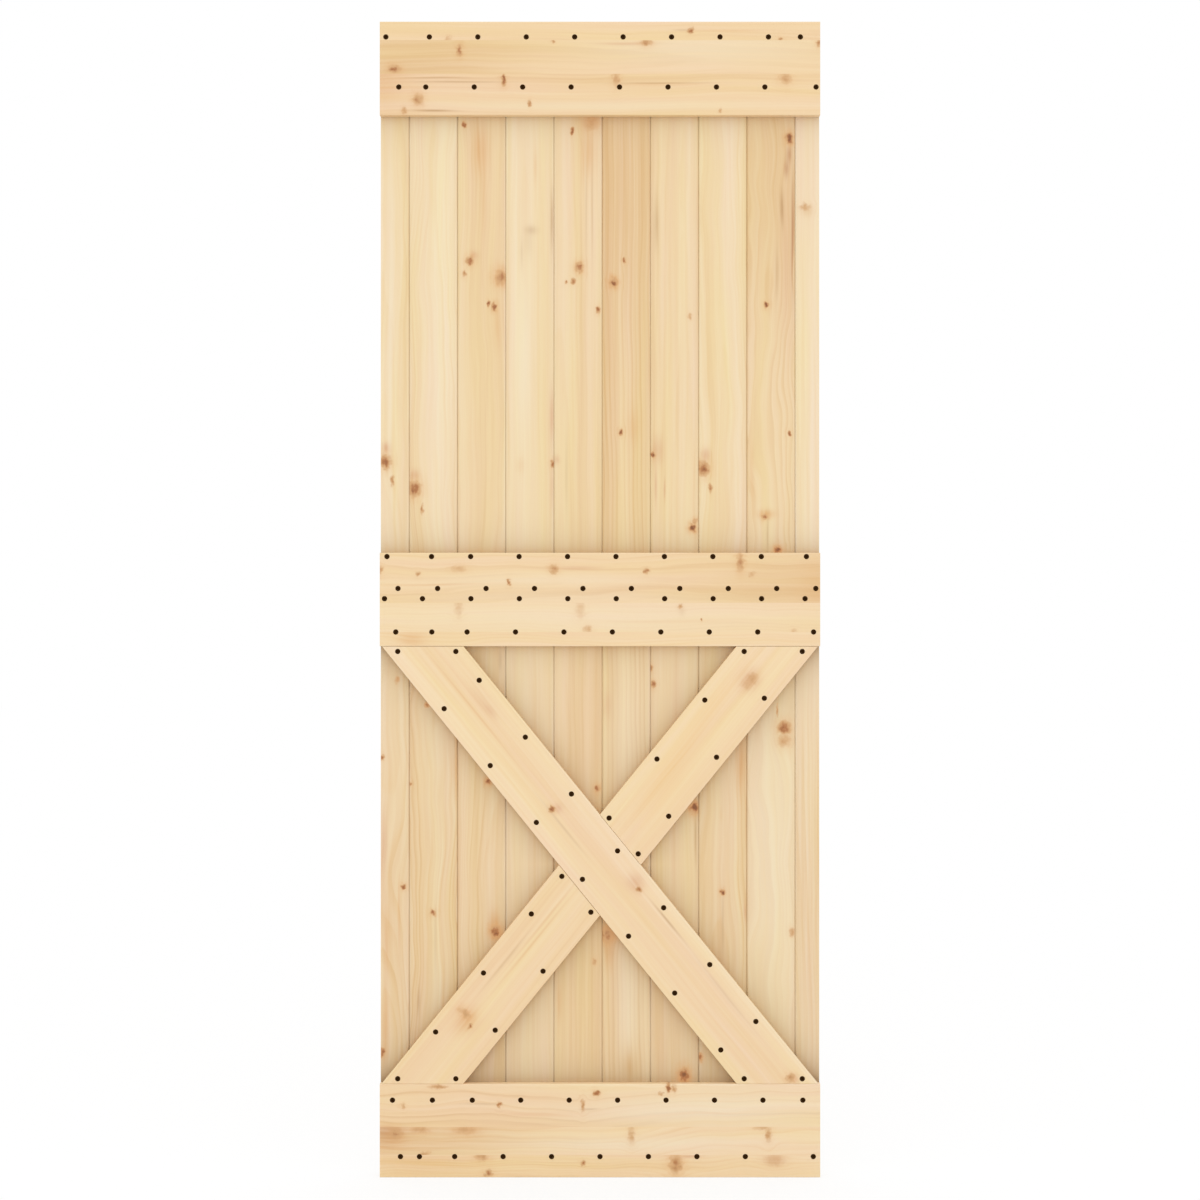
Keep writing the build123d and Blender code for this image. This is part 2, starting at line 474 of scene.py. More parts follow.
def mark(turn, glue, x, height, half_across, half_along, strength):
    """Inputs that a knot and a stain share."""
    along, across = lay(turn, x, height)
    scale = (1 / (half_along * MM), 1 / (half_across * MM), 0.0)
    own_strip = float(sum(height < line for line, _ in glue))
    shift = (-along * scale[0], -across * scale[1], 0.0)
    return {"Scale": scale, "Shift": shift, "Strength": strength, "Own Strip": own_strip}


def glued_strips(tree, glue, height, grain, tone):
    """Number of the glued strip, 0 at the top, and the grain and tone that each strip has for itself."""
    strip = 0.0
    for line, step in glue:
        below = sums(tree, "LESS_THAN", height, LEAF_BOTTOM + line * MM)
        strip = sums(tree, "ADD", strip, below)
        tone = sums(tree, "MULTIPLY_ADD", below, step, tone)
        grain = vectors(tree, "ADD", grain, scaled(tree, STRIP_JUMP, below))
    return strip, grain, tone


def set_knots(tree, turn, glue, knots, place, strip, grain):
    """Grain bent round every knot, the darkness of the cores and the glow round them."""
    carried = {"Grain": grain, "Core": 0.0, "Halo": 0.0}
    for *shape, glow in knots:
        values = {**carried, **mark(turn, glue, *shape), "Place": place, "Strip": strip, "Glow": glow}
        values["Width"] = (0.0, KNOT_SQUEEZE * shape[2] * MM, 0.0)
        made = use_group(tree, KNOT, values)
        carried = {label: made[label] for label in carried}
    return carried["Grain"], carried["Core"], carried["Halo"]


def sawn_ends(tree, name, turn, along):
    """1 on a piece's two sawn ends and 0 between them."""
    start, stop = length_span(name, turn)
    first = ramp(tree, along, start + END_SKIN, start + END_SKIN / 3)
    last = ramp(tree, along, stop - END_SKIN, stop - END_SKIN / 3)
    return sums(tree, "MAXIMUM", first, last)


def lively_rings(tree, figure, height, late, tone):
    """Tone with stronger rings over one stretch of a piece."""
    centre, reach, strength = figure
    off = sums(tree, "DIVIDE", sums(tree, "SUBTRACT", height, LEAF_BOTTOM + centre * MM), reach * MM)
    lively = ramp(tree, sums(tree, "ABSOLUTE", off), 1.0, FIGURE_FADE)
    lively = sums(tree, "MULTIPLY", lively, sums(tree, "SUBTRACT", late, FIGURE_LEVEL))
    return sums(tree, "MULTIPLY_ADD", lively, strength, tone)


def clear_wood(tree, name, tone, blush):
    """Colour of clear wood by its tone, from cream to honey, with a pinker or yellower cast in places."""
    pale, straw = (PALE, STRAW) if name in BOARDS else (BATTEN_PALE, BATTEN_STRAW)
    colour = CREAM
    for (low, high), shade in zip(TONE_STEPS, (pale, straw, HONEY)):
        colour = blend(tree, ramp(tree, tone, low, high, smooth=False), colour, shade)
    green = swing(tree, blush, -PINK, GREEN_SHARE)
    blue = swing(tree, blush, YELLOW, BLUE_SHARE)
    cast = node(tree, "ShaderNodeCombineXYZ", X=1.0, Y=green, Z=blue).outputs[0]
    return vectors(tree, "MULTIPLY", colour, cast)


def set_stains(tree, turn, glue, stains, place, strip, streak, colour):
    """Colour with every stain mixed in, broken up by the streaks of the grain."""
    uneven = swing(tree, streak, STAIN_STREAKS, 1.0)
    for *shape, tint, strength in stains:
        values = {**mark(turn, glue, *shape, strength), "Place": place, "Strip": strip}
        values |= {"Uneven": uneven, "Tint": tint, "Colour": colour}
        colour = use_group(tree, STAIN, values)["Colour"]
    return colour


def knot_colour(tree, core, halo, streak, wobble, colour):
    """Colour with the warm glow round the knots and their patchy cores laid over it."""
    glow = sums(tree, "MULTIPLY", halo, swing(tree, streak, HALO_STREAKS, 1.0), clamp=True)
    colour = blend(tree, glow, colour, AMBER)
    patchy = node(tree, "ShaderNodeSeparateXYZ", Vector=wobble).outputs[2]
    patchy = sums(tree, "MULTIPLY_ADD", patchy, CORE_PATCHES, swing(tree, streak, CORE_STREAKS, 1.0))
    core = sums(tree, "MULTIPLY", core, patchy, clamp=True)
    colour = blend(tree, ramp(tree, core, *PALE_CORE, smooth=False), colour, KNOT_PALE)
    colour = blend(tree, ramp(tree, core, *RED_CORE), colour, KNOT_RED)
    return blend(tree, ramp(tree, core, *DARK_CORE), colour, KNOT_DARK)


def finish_wood(tree, colour, late, fibre, streak, arris, sawn):
    """Planed surface: smoother on late wood and arrises, rougher on sawn ends, with a fine relief."""
    shader = tree.nodes["Principled BSDF"]
    tree.links.new(colour, shader.inputs["Base Color"])
    rough = sums(tree, "MULTIPLY_ADD", late, LATE_ROUGH, WOOD_ROUGH)
    rough = sums(tree, "MULTIPLY_ADD", fibre, FIBRE_ROUGH, rough)
    rough = sums(tree, "MULTIPLY_ADD", arris, ARRIS_ROUGH, rough)
    rough = sums(tree, "MULTIPLY_ADD", sawn, SAWN_ROUGH, rough)
    tree.links.new(rough, shader.inputs["Roughness"])
    relief = sums(tree, "MULTIPLY_ADD", fibre, FIBRE_RELIEF, sums(tree, "MULTIPLY", streak, STREAK_RELIEF))
    bump = node(tree, "ShaderNodeBump", Height=relief, Strength=RELIEF_STRENGTH, Distance=RELIEF_DEPTH)
    tree.links.new(bump.outputs[0], shader.inputs["Normal"])
    shader.inputs["Specular IOR Level"].default_value = WOOD_SHINE


def pine(name, turn, warmth, lines, pith, ring, sway=12, wander=16, bands=1.3, edges=(-0.1, -0.1),
         figure=None, glue=(), knots=(), stains=()):
    """Planed pine for one piece, with its own rings, knots and stains.

    Warmth is its tone from pale to honey, lines the strength of its rings, pith their centre across
    and behind its front, ring their pitch, sway how far the whole grain strays from straight, wander
    how far the rings do, bands the strength of its broad tones, edges the tone of its two arrises,
    figure the height, half length and strength of a lively stretch of rings, and glue the heights
    where strips of wood are glued together, each with the step in tone below it.
    """
    low, high, front = front_span(name, turn)
    seed = tuple(rng.uniform(*SEED_SPAN) for _ in range(3))
    made = bpy.data.materials.new(name + "_pine")
    made.use_nodes = True
    tree = made.node_tree
    object_place = node(tree, "ShaderNodeTexCoord").outputs["Object"]
    height = node(tree, "ShaderNodeSeparateXYZ", Vector=object_place).outputs[2]
    turned = node(tree, "ShaderNodeMapping", Vector=object_place, Rotation=turn).outputs[0]
    along, across = node(tree, "ShaderNodeSeparateXYZ", Vector=turned).outputs[:2]

    drift = noise(tree, vectors(tree, "ADD", turned, seed), DRIFT_GRAIN)
    drift = node(tree, "ShaderNodeCombineXYZ", Y=swing(tree, drift, sway * MM, 0.0)).outputs[0]
    grain = vectors(tree, "ADD", turned, drift)
    strip, grain, tone = glued_strips(tree, glue, height, grain, warmth)
    seeded = vectors(tree, "ADD", grain, seed)
    band = noise(tree, seeded, BAND_GRAIN, FINE_DETAIL)
    blush = noise(tree, seeded, BLUSH_GRAIN)
    streak = noise(tree, seeded, STREAK_GRAIN, FINE_DETAIL)
    fibre = noise(tree, seeded, FIBRE_GRAIN)
    wobble = node(tree, "ShaderNodeTexNoise", Vector=turned, Scale=WOBBLE_SCALE, Detail=2.0).outputs[1]
    wobble = vectors(tree, "SUBTRACT", wobble, (0.5, 0.5, 0.5))
    ragged = vectors(tree, "MULTIPLY_ADD", wobble, RAGGED_REACH, turned)
    smooth = vectors(tree, "MULTIPLY_ADD", drift, STAIN_DRIFT, turned)

    grain, core, halo = set_knots(tree, turn, glue, knots, ragged, strip, grain)
    late = use_group(tree, RINGS, {
        "Grain": grain, "Seed": seed, "Ring": ring * MM, "Wander": wander * MM,
        "Pith": (0.0, (low + high) / 2 + pith[0] * MM, front + pith[1] * MM),
    })["Late"]
    arrises = [
        ramp(tree, across, low + ARRIS_INSIDE, low - ARRIS_OUTSIDE),
        ramp(tree, across, high - ARRIS_INSIDE, high + ARRIS_OUTSIDE),
    ]
    sawn = sawn_ends(tree, name, turn, along)

    end_tone = sums(tree, "MULTIPLY_ADD", late, SAWN_RINGS, SAWN_TONE)
    tone = sums(tree, "MULTIPLY_ADD", sawn, end_tone, tone)
    tone = swing(tree, band, bands, tone)
    tone = swing(tree, streak, STREAK_TONE, tone)
    tone = swing(tree, fibre, FIBRE_TONE, tone)
    tone = sums(tree, "MULTIPLY_ADD", late, lines, tone)
    if figure:
        tone = lively_rings(tree, figure, height, late, tone)
    for side, edge in zip(arrises, edges):
        tone = sums(tree, "MULTIPLY_ADD", side, edge, tone)

    colour = clear_wood(tree, name, tone, blush)
    colour = set_stains(tree, turn, glue, stains, smooth, strip, streak, colour)
    # Painted shade on the boards' front at the battens' feet, and a soft darkening along the joints
    if name in BOARDS:
        near = use_group(tree, FOOT, {"Place": object_place})["Near"]
        colour = blend(tree, sums(tree, "MULTIPLY", near, PAINTED_SHADE_SHARE), colour, PAINTED_SHADE_TINT)
    colour = knot_colour(tree, core, halo, streak, wobble, colour)
    finish_wood(tree, colour, late, fibre, streak, sums(tree, "MAXIMUM", *arrises), sawn)
    return made


# Marks in the wood, given in mm: x from the leaf's middle, height from its foot.
# A knot is (x, height, half width across the grain, half length along it, darkness, warm glow round it).
# A stain is (x, height, half width across the grain, half length along it, tint, strength).
# On most boards, the wide HONEY stain over the lower part (about 430 high, 300 across, 520 along) is partly
# a warmer tone of the wood and partly painted shade of the lower bays enclosed by the battens.
TIMBER = {
    "board_01": dict(
        turn=UPRIGHT, warmth=0.26, lines=0.2, sway=45, pith=(-14, 55), ring=4.2, wander=40,
        bands=1.6, edges=(-0.1, -0.15), figure=(430, 420, 0.3),
        knots=[
            (-391, 1301, 8, 10, 0.68, 0.5), (-379, 1266, 2.5, 8, 0.45, 0.2), (-370, 903, 4, 5, 0.34, 0.1),
            (-398, 763, 3.5, 4.5, 0.6, 0.3), (-359, 527, 3.5, 4, 0.75, 0.5), (-397, 224, 4, 7, 0.7, 0.4),
        ],
        stains=[
            (-374, 430, 300, 520, HONEY, 0.32), (-382, 1500, 5, 330, CREAM, 0.4),
            (-389, 1327, 8, 10, ROSE, 0.5), (-395, 605, 8, 60, ROSE, 0.3), (-393, 272, 6, 65, AMBER, 0.5),
            (-388, 430, 5, 60, AMBER, 0.3), (-366, 475, 2.5, 70, AMBER, 0.35),
        ],
    ),
    "board_02": dict(
        turn=UPRIGHT, warmth=0.25, lines=0.2, sway=50, pith=(4, 48), ring=4.6, wander=40,
        bands=1.6, edges=(-0.2, -0.1), figure=(430, 440, 0.3),
        knots=[
            (-338, 1252, 9, 11, 0.68, 0.5), (-325, 1215, 2.5, 8, 0.45, 0.2),
            (-346, 713, 2.5, 4, 0.5, 0.4), (-304, 479, 4, 4.5, 0.8, 0.6), (-315, 857, 4, 4, 0.4, 0.1),
        ],
        stains=[
            (-304, 430, 300, 520, HONEY, 0.29), (-337, 1277, 9, 10, ROSE, 0.45),
            (-301, 430, 2.5, 60, UMBER, 0.2), (-331, 316, 3, 25, UMBER, 0.35),
            (-265, 748, 6, 50, AMBER, 0.5),
        ],
    ),
    "board_03": dict(
        turn=UPRIGHT, warmth=0.44, lines=0.14, sway=36, pith=(30, 70), ring=4.0, edges=(0.0, -0.45),
        figure=(430, 440, 0.25),
        knots=[
            (-248, 1916, 3.3, 3.6, 0.8, 0.3), (-238, 1668, 5.5, 6.5, 0.6, 0.5),
            (-248, 1644, 3, 5.5, 0.5, 0.3), (-181, 1638, 8, 10, 0.5, 0.8),
            (-203, 1591, 2.3, 4.3, 0.7, 0.3), (-193, 1583, 4, 6, 0.85, 0.5),
            (-204, 719, 4.5, 5.5, 0.75, 0.5), (-191, 445, 7.2, 8.5, 0.7, 0.9),
        ],
        stains=[
            (-216, 430, 300, 520, HONEY, 0.2), (-218, 1874, 14, 45, AMBER, 0.4),
            (-213, 1790, 5, 80, AMBER, 0.2), (-229, 1678, 8, 8, ROSE, 0.35),
            (-186, 1550, 9, 45, AMBER, 0.22), (-182, 940, 3, 22, UMBER, 0.4),
            (-192, 462, 9, 22, AMBER, 0.45),
        ],
    ),
    "board_04": dict(
        turn=UPRIGHT, warmth=0.16, lines=0.12, pith=(-10, 60), ring=4.4, edges=(-0.35, -0.25),
        knots=[(-87, 1297, 3, 5.5, 0.6, 0.4)],
        stains=[
            (-128, 430, 300, 520, HONEY, 0.24), (-140, 1500, 14, 170, CREAM, 0.4),
            (-125, 1724, 11, 8, UMBER, 0.3), (-130, 1700, 9, 25, UMBER, 0.12),
            (-143, 1682, 2.5, 25, UMBER, 0.2), (-118, 1840, 4, 30, AMBER, 0.2),
            (-145, 1295, 8, 15, AMBER, 0.15), (-88, 1740, 3.5, 50, UMBER, 0.4),
            (-88, 1383, 4, 45, ROSE, 0.5), (-88, 1255, 3.5, 40, ROSE, 0.3),
        ],
    ),
    "board_05": dict(
        turn=UPRIGHT, warmth=0.48, lines=0.14, pith=(-36, 62), ring=4.2, edges=(-0.3, -0.2),
        knots=[
            (-51, 1903, 3, 4.5, 0.85, 0.3), (-16, 1921, 12, 12, 0.3, 0.4), (-38, 1655, 6, 7, 0.52, 0.6),
            (-49, 1631, 3.3, 5.5, 0.7, 0.3), (-61, 1628, 2.6, 3, 0.7, 0.3), (-4, 1578, 3.2, 6, 0.65, 0.3),
            (-5, 705, 4.2, 5, 0.65, 0.5), (-10, 390, 3, 4, 0.35, 0.3),
        ],
        stains=[
            (-40, 430, 300, 520, HONEY, 0.14), (-21, 1870, 14, 50, AMBER, 0.42),
            (-25, 1770, 2, 90, UMBER, 0.2), (-14, 1770, 2, 90, UMBER, 0.2), (-80, 1305, 6, 8, ROSE, 0.35),
            (-61, 1277, 2.5, 70, UMBER, 0.22), (-75, 320, 5, 40, AMBER, 0.3),
        ],
    ),
    "board_06": dict(
        turn=UPRIGHT, warmth=0.56, lines=0.4, pith=(-95, 40), ring=7.5, bands=1.6, edges=(-0.15, -0.3),
        knots=[
            (44, 1669, 2.7, 4, 0.6, 0.3), (25, 1628, 5.4, 6.2, 0.78, 0.95),
            (38, 1355, 3.4, 4.6, 0.85, 0.4), (13, 438, 9, 11, 0.55, 0.8),
        ],
        stains=[
            (48, 1830, 90, 280, HONEY, 0.55), (52, 300, 26, 170, CREAM, 0.4),
            (48, 800, 60, 170, CREAM, 0.22), (60, 1365, 12, 30, AMBER, 0.22),
            (16, 408, 8, 30, AMBER, 0.5), (12, 857, 8, 25, ROSE, 0.3), (55, 193, 15, 36, HONEY, 0.75),
        ],
    ),
    "board_07": dict(
        turn=UPRIGHT, warmth=0.44, lines=0.14, pith=(18, 64), ring=4.4, edges=(-0.3, -0.1),
        knots=[
            (164, 1567, 3, 4, 0.25, 0.3), (97, 1314, 3.3, 5, 0.85, 0.4), (169, 1180, 5, 5.6, 0.8, 0.9),
            (173, 1193, 3.5, 4, 0.35, 0.5), (93, 925, 3, 5, 0.45, 0.3), (97, 896, 3.8, 5.5, 0.65, 0.4),
            (172, 670, 6.4, 8, 0.9, 0.8), (153, 182, 8, 10.5, 0.85, 0.8),
        ],
        stains=[
            (136, 430, 300, 520, HONEY, 0.2), (112, 228, 26, 130, ROSE, 0.14),
            (102, 1735, 6, 45, UMBER, 0.35), (104, 1322, 11, 26, ROSE, 0.42),
            (102, 1257, 2.5, 32, ROSE, 0.4), (118, 1250, 2, 20, ROSE, 0.35),
            (175, 615, 2.5, 45, UMBER, 0.35),
        ],
    ),
    "board_08": dict(
        turn=UPRIGHT, warmth=0.24, lines=0.2, sway=45, pith=(-6, 46), ring=4.6, wander=30,
        bands=1.6, edges=(-0.1, 0.1), figure=(430, 420, 0.26),
        knots=[
            (188, 1289, 9, 11, 0.66, 0.5), (201, 1253, 2.6, 8, 0.45, 0.2), (183, 214, 3.2, 6.5, 0.7, 0.4),
            (223, 517, 3.6, 4, 0.75, 0.6),
        ],
        stains=[
            (224, 430, 300, 520, HONEY, 0.33), (190, 1314, 9, 12, ROSE, 0.45),
            (224, 462, 2, 50, UMBER, 0.3), (257, 754, 10, 50, AMBER, 0.42), (263, 478, 3, 18, ROSE, 0.35),
        ],
    ),
    "board_09": dict(
        turn=UPRIGHT, warmth=0.48, lines=0.22, sway=80, pith=(-16, 40), ring=6.5, wander=34, bands=1.6,
        edges=(0.05, -0.2), figure=(1400, 420, 0.28),
        knots=[
            (345, 1892, 5.4, 7.5, 0.95, 0.8), (303, 1587, 3.8, 4.2, 0.9, 0.4),
            (346, 1354, 3.2, 3.6, 0.8, 0.3), (300, 1201, 4.5, 4.5, 0.65, 0.5),
            (325, 1141, 6, 6, 0.85, 0.6), (336, 816, 9.5, 10, 0.66, 0.5), (336, 793, 9, 9, 0.3, 0.4),
            (324, 850, 1.7, 10, 0.45, 0.1), (350, 443, 4, 5.5, 0.3, 0.3),
        ],
        stains=[
            (312, 1830, 90, 240, HONEY, 0.5), (341, 1862, 5, 16, RUST, 0.65),
            (337, 1836, 4.2, 15, RUST, 0.7), (330, 1764, 3.4, 30, UMBER, 0.55),
            (349.5, 1726, 2.8, 95, RUST, 0.75), (338, 1660, 12, 130, ROSE, 0.16),
            (318, 590, 60, 380, CREAM, 0.42), (319, 1645, 3, 45, UMBER, 0.25),
            (300, 1206, 16, 8, AMBER, 0.45), (303, 1165, 2, 35, UMBER, 0.3),
            (277, 1283, 4, 60, AMBER, 0.3),
        ],
    ),
    "board_10": dict(
        turn=UPRIGHT, warmth=0.2, lines=0.18, pith=(-30, 50), ring=5.0, edges=(-0.3, -0.1),
        figure=(500, 420, 0.3), knots=[(374, 1766, 8, 5, 0.3, 0.1)],
        stains=[(378, 480, 300, 420, HONEY, 0.35), (377, 1759, 11, 11, HONEY, 0.4)],
    ),
    "top_rail": dict(
        turn=LEVEL, warmth=0.48, lines=0.12, pith=(20, 60), ring=5.0, sway=24, bands=0.8,
        glue=[(2066, 0.0), (2005, 0.0)],
        knots=[
            (-255, 2048, 8, 4.5, 0.54, 0.4), (-374, 2014, 6, 9, 0.56, 0.4), (-175, 1994, 8, 4, 0.76, 0.4),
            (-331, 1958, 8, 7, 0.44, 0.5), (-356, 1938, 5, 3.5, 0.4, 0.3),
            (-127, 1952, 5.5, 2.5, 0.45, 0.2), (-85, 2065, 3.5, 3, 0.5, 0.2), (83, 2062, 5, 8, 0.4, 0.4),
            (29, 1996, 11, 5, 0.3, 0.3), (337, 1997, 9, 8, 0.28, 0.3), (397, 2062, 6, 4, 0.45, 0.3),
            (165, 2084, 4.5, 4, 0.6, 0.2), (328, 2068, 3, 4, 0.4, 0.2), (219, 1939, 3.5, 2, 0.3, 0.1),
            (-276, 2070, 4, 4, 0.2, 0.1),
        ],
        stains=[
            (-400, 1990, 60, 55, AMBER, 0.3), (-330, 2015, 160, 170, HONEY, 0.48),
            (-150, 2000, 160, 420, ROSE, 0.07), (200, 2052, 34, 230, CREAM, 0.36),
            (-40, 1947, 10, 360, CREAM, 0.3), (108, 1988, 1.6, 75, UMBER, 0.5),
            (-255, 1990, 1.6, 75, UMBER, 0.5), (-303, 1937, 2.2, 36, UMBER, 0.55),
            (45, 2060, 3, 45, ROSE, 0.35), (150, 2084, 2, 18, UMBER, 0.3),
            (-300, 1997, 1.5, 60, UMBER, 0.35), (240, 2083, 2, 60, AMBER, 0.25),
            (100, 1986, 2.5, 90, AMBER, 0.25),
        ],
    ),
    "middle_rail": dict(
        turn=LEVEL, warmth=0.42, lines=0.19, pith=(-30, 66), ring=5.4, sway=44, wander=28, bands=0.9,
        glue=[(1044, -0.08), (991, 0.04)],
        knots=[
            (-257, 1106, 5, 10, 0.2, 0.2), (-330, 1096, 3.5, 3.5, 0.4, 0.2),
            (-165, 1082, 4.5, 3, 0.55, 0.2), (-84, 1105, 7, 6, 0.46, 0.3), (-257, 1035, 14, 6, 0.15, 0.1),
            (-36, 1032, 13, 7, 0.13, 0.1), (-22, 996, 5, 6.5, 0.24, 0.2), (255, 1118, 13, 5, 0.42, 0.4),
            (84, 1102, 4.2, 3.8, 0.45, 0.2), (276, 1095, 4, 5, 0.25, 0.1),
            (146, 1038, 3.6, 3.6, 0.35, 0.2), (185, 1013, 2.2, 2.2, 0.6, 0.1), (352, 991, 4, 4, 0.2, 0.1),
            (-398, 1103, 6, 3, 0.35, 0.3),
        ],
        stains=[
            (-343, 976, 14, 28, AMBER, 0.36), (-40, 1107, 4, 45, ROSE, 0.4),
            (400, 1060, 60, 40, AMBER, 0.34), (330, 1080, 60, 140, HONEY, 0.38),
            (-120, 1084, 16, 220, CREAM, 0.3), (-60, 1052, 10, 300, CREAM, 0.2),
            (-20, 1012, 32, 420, CREAM, 0.3), (149, 1028, 9, 6, UMBER, 0.15),
            (-300, 1078, 2, 90, AMBER, 0.22), (120, 1010, 3, 120, AMBER, 0.14),
        ],
    ),
    "bottom_rail": dict(
        turn=LEVEL, warmth=0.38, lines=0.3, pith=(16, 56), ring=6.2, sway=60, wander=44, bands=1.6,
        glue=[(92, -0.1), (41, 0.06)],
        knots=[
            (-294, 164, 3, 14, 0.35, 0.2), (-358, 130, 4, 3, 0.3, 0.2), (-372, 80, 9, 10, 0.4, 0.4),
            (-327, 87, 5, 12, 0.28, 0.4), (-245, 87, 6.5, 15, 0.22, 0.5), (-183, 132, 4.5, 3, 0.6, 0.2),
            (-31, 132, 9, 3, 0.45, 0.2), (-6, 153, 4.2, 5, 0.7, 0.4), (-215, 38, 7, 9, 0.28, 0.3),
            (-202, 8, 5, 6, 0.6, 0.3), (-31, 26, 4, 3.6, 0.55, 0.2), (125, 163, 6.5, 3.5, 0.65, 0.4),
            (134, 162, 6, 3, 0.35, 0.3), (57, 78, 12, 5, 0.24, 0.2), (138, 25, 13, 9, 0.48, 0.5),
            (317, 31, 9, 15, 0.16, 0.1), (306, 79, 10, 5, 0.34, 0.2), (294, 90, 3, 12, 0.25, 0.2),
            (110, 152, 3, 4, 0.3, 0.1), (-318, 43, 4, 7, 0.3, 0.2),
        ],
        stains=[
            (-400, 60, 60, 60, AMBER, 0.32), (-330, 20, 18, 110, AMBER, 0.25),
            (-215, 134, 2, 35, UMBER, 0.28), (-300, 80, 160, 150, HONEY, 0.38),
            (-388, 84, 22, 34, RUST, 0.42), (190, 120, 34, 240, CREAM, 0.55),
            (60, 62, 14, 220, CREAM, 0.5), (165, 37, 3, 20, ROSE, 0.4), (-385, 92, 8, 20, AMBER, 0.35),
            (-20, 128, 1.8, 16, UMBER, 0.3), (317, 31, 11, 18, ROSE, 0.36),
            (-110, 118, 4, 70, AMBER, 0.2),
        ],
    ),
    "long_brace": dict(
        turn=FALLING, warmth=0.3, lines=0.07, bands=1.0, pith=(-24, 62), ring=5.0,
        knots=[(-87, 669, 4, 5, 0.7, 0.4), (70, 524, 4, 5, 0.55, 0.4), (346, 181, 6, 6, 0.42, 0.4)],
        stains=[
            (-212, 828, 2.0, 150, AMBER, 0.42), (-216, 867, 9, 32, ROSE, 0.2),
            (-199, 848, 6, 16, ROSE, 0.3), (-70, 640, 2.2, 55, UMBER, 0.28),
            (123, 466, 2.2, 40, UMBER, 0.4), (65, 537, 14, 16, ROSE, 0.42),
            (226, 334, 4, 80, UMBER, 0.16), (-76, 671, 9, 9, ROSE, 0.35), (354, 180, 8, 8, ROSE, 0.35),
        ],
    ),
    "upper_half_brace": dict(
        turn=RISING, warmth=0.36, lines=0.07, bands=1.0, pith=(10, 60), ring=5.0,
        knots=[(276, 906, 9, 9, 0.3, 0.2), (267, 896, 9, 8, 0.16, 0.1)],
        stains=[
            (140, 765, 17, 90, GOLD, 0.6), (205, 858, 15, 75, GOLD, 0.5), (112, 700, 22, 75, GOLD, 0.5),
            (272, 902, 17, 20, ROSE, 0.4), (150, 760, 12, 160, AMBER, 0.12),
        ],
    ),
    "lower_half_brace": dict(
        turn=RISING, warmth=0.42, lines=0.09, bands=1.0, pith=(-16, 58), ring=5.0,
        knots=[(-236, 275, 2.8, 4.5, 0.6, 0.3), (-246, 299, 9, 5, 0.3, 0.5)],
        stains=[
            (-242, 285, 20, 26, AMBER, 0.42), (-94, 473, 2.6, 85, AMBER, 0.32),
            (-118, 431, 2.6, 115, AMBER, 0.3), (-170, 395, 3, 60, UMBER, 0.2),
        ],
    ),
}

for name, timber in TIMBER.items():
    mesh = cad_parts[name].data
    mesh.materials.clear()
    mesh.materials.append(pine(name, **timber))


def deselect():
    """Leave nothing selected."""
    bpy.ops.object.select_all(action="DESELECT")


def pick_face(way):
    """In edit mode, select only the face on the screw's axis that looks one way along it."""
    bpy.ops.mesh.select_mode(type="FACE")
    bpy.ops.mesh.select_all(action="DESELECT")
    mesh = bmesh.from_edit_mesh(bpy.context.object.data)
    mesh.normal_update()
    for face in mesh.faces:
        middle = face.calc_center_median()
        on_axis = math.hypot(middle.x, middle.z) < TOUCHING
        if on_axis and face.normal.y * way > SAME_WAY:
            face.select_set(True)
    bmesh.update_edit_mesh(bpy.context.object.data)


def pull(distance, taper=1.0):
    """Extrude the picked face along +Y and scale its end."""
    bpy.ops.mesh.extrude_region_move(TRANSFORM_OT_translate={"value": (0, distance, 0)})
    bpy.ops.transform.resize(value=(taper, taper, taper))


def squeeze(lean, share):
    """Scale the corners of the front face that lean to X (1), to Z (-1) or to neither (0)."""
    pick_face(FRONT)
    mesh = bmesh.from_edit_mesh(bpy.context.object.data)
    corners = [vertex for vertex in mesh.verts if vertex.select]
    bpy.ops.mesh.select_mode(type="VERT")
    bpy.ops.mesh.select_all(action="DESELECT")
    for corner in corners:
        more = abs(corner.co.x) - abs(corner.co.z)
        side = 0 if abs(more) < TOUCHING else math.copysign(1, more)
        corner.select_set(side == lean)
    bmesh.update_edit_mesh(bpy.context.object.data)
    bpy.ops.transform.resize(value=share)


def sink_cross():
    """Sink a tapered cross for the driver in the front of a screw head."""
    pull(0.0, CROSS_ARM / (HEAD_RADIUS - RIM_BEVEL))
    nook = CROSS_WIDTH / (math.sqrt(2) * CROSS_ARM)
    tip = CROSS_WIDTH / (2 * CROSS_ARM * math.sin(2 * math.pi / SCREW_SIDES))
    squeeze(0, (nook, 1, nook))
    squeeze(1, (1, 1, tip))
    squeeze(-1, (tip, 1, 1))
    pick_face(FRONT)
    pull(CROSS_DEPTH, CROSS_TAPER)


def model_screw():
    """One countersunk screw at the origin, with its head towards the front."""
    deselect()
    bpy.ops.mesh.primitive_cylinder_add(
        vertices=SCREW_SIDES, radius=HEAD_RADIUS, depth=HEAD_RIM - RIM_BEVEL,
        location=(0, HEAD_RECESS + (HEAD_RIM + RIM_BEVEL) / 2, 0), rotation=(math.pi / 2, 0, 0),
    )
    screw = bpy.context.object
    bpy.ops.object.transform_apply(location=True, rotation=True)
    bpy.ops.object.mode_set(mode="EDIT")
    pick_face(BACK)
    cone = HEAD_RADIUS - SHANK_RADIUS
    pull(cone, SHANK_RADIUS / HEAD_RADIUS)
    pull(SHANK_END - HEAD_RECESS - HEAD_RIM - cone)
    pull(POINT_END - SHANK_END, POINT_SHARE)
    pick_face(FRONT)
    pull(-RIM_BEVEL, 1 - RIM_BEVEL / HEAD_RADIUS)
    sink_cross()
    bpy.ops.object.mode_set(mode="OBJECT")
    bpy.ops.object.shade_smooth_by_angle(angle=SMOOTH_ANGLE)
    return screw


